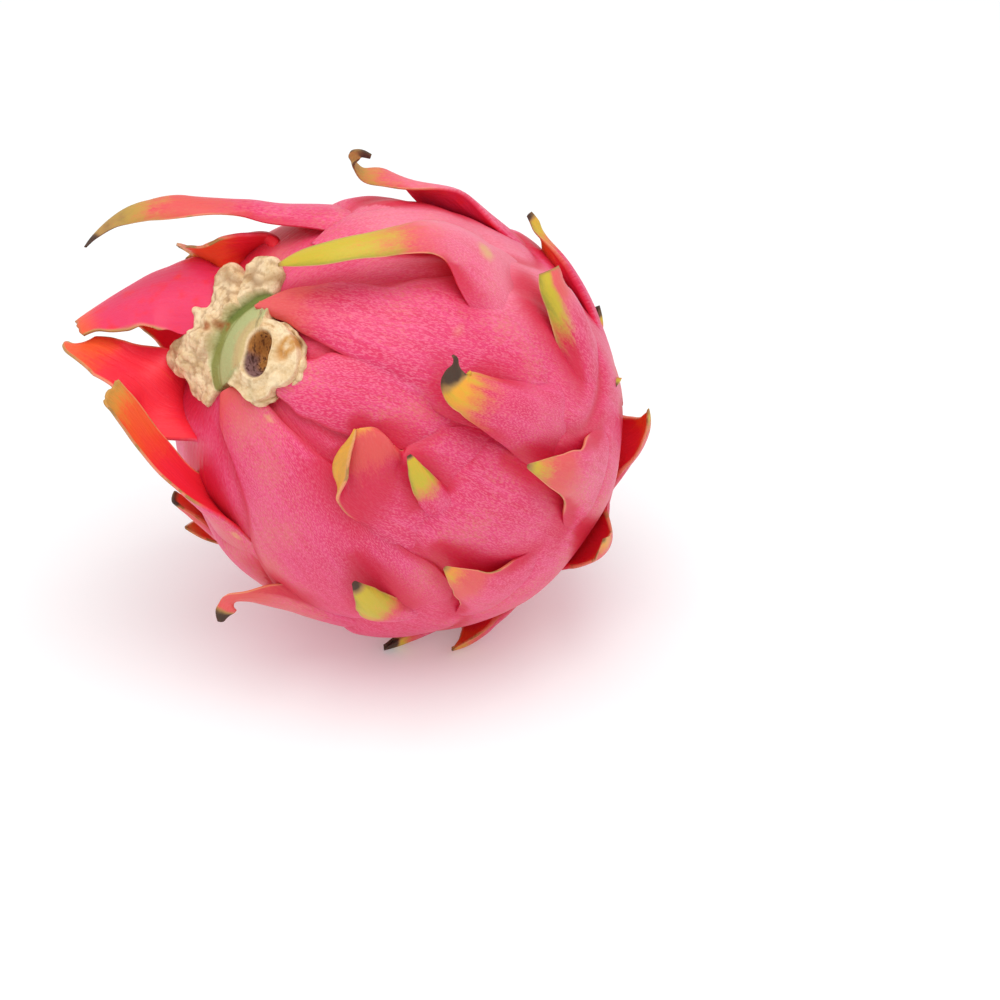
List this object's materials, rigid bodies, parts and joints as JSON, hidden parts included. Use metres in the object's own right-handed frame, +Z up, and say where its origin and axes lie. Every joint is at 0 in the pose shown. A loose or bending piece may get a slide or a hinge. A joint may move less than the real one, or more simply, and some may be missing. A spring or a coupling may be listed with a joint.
{
  "type": "dragon fruit",
  "caption": "Whole egg-shaped fruit with a pink skin, leafy bracts that stand off it, a dry corky flower scar and a cut stalk stub, lying on its side.",
  "frame": {"origin": "middle of the small flat spot that the fruit rests on", "axes": "+Z up from the surface; the flower scar points up and towards -X and -Y, the stalk stub down and towards +X and +Y"},
  "size_m": [0.1292, 0.1115, 0.1133],
  "materials": {
    "skin": "waxy pink plant skin with a pale bloom; bracts orange to yellow-green",
    "cork": "dry, rough, corky",
    "stalk": "cut green stalk, dull"
  },
  "bodies": {
    "root": {"fruit": "skin", "flower_scar": "cork", "stem_stub": "stalk"}
  },
  "joints": []
}
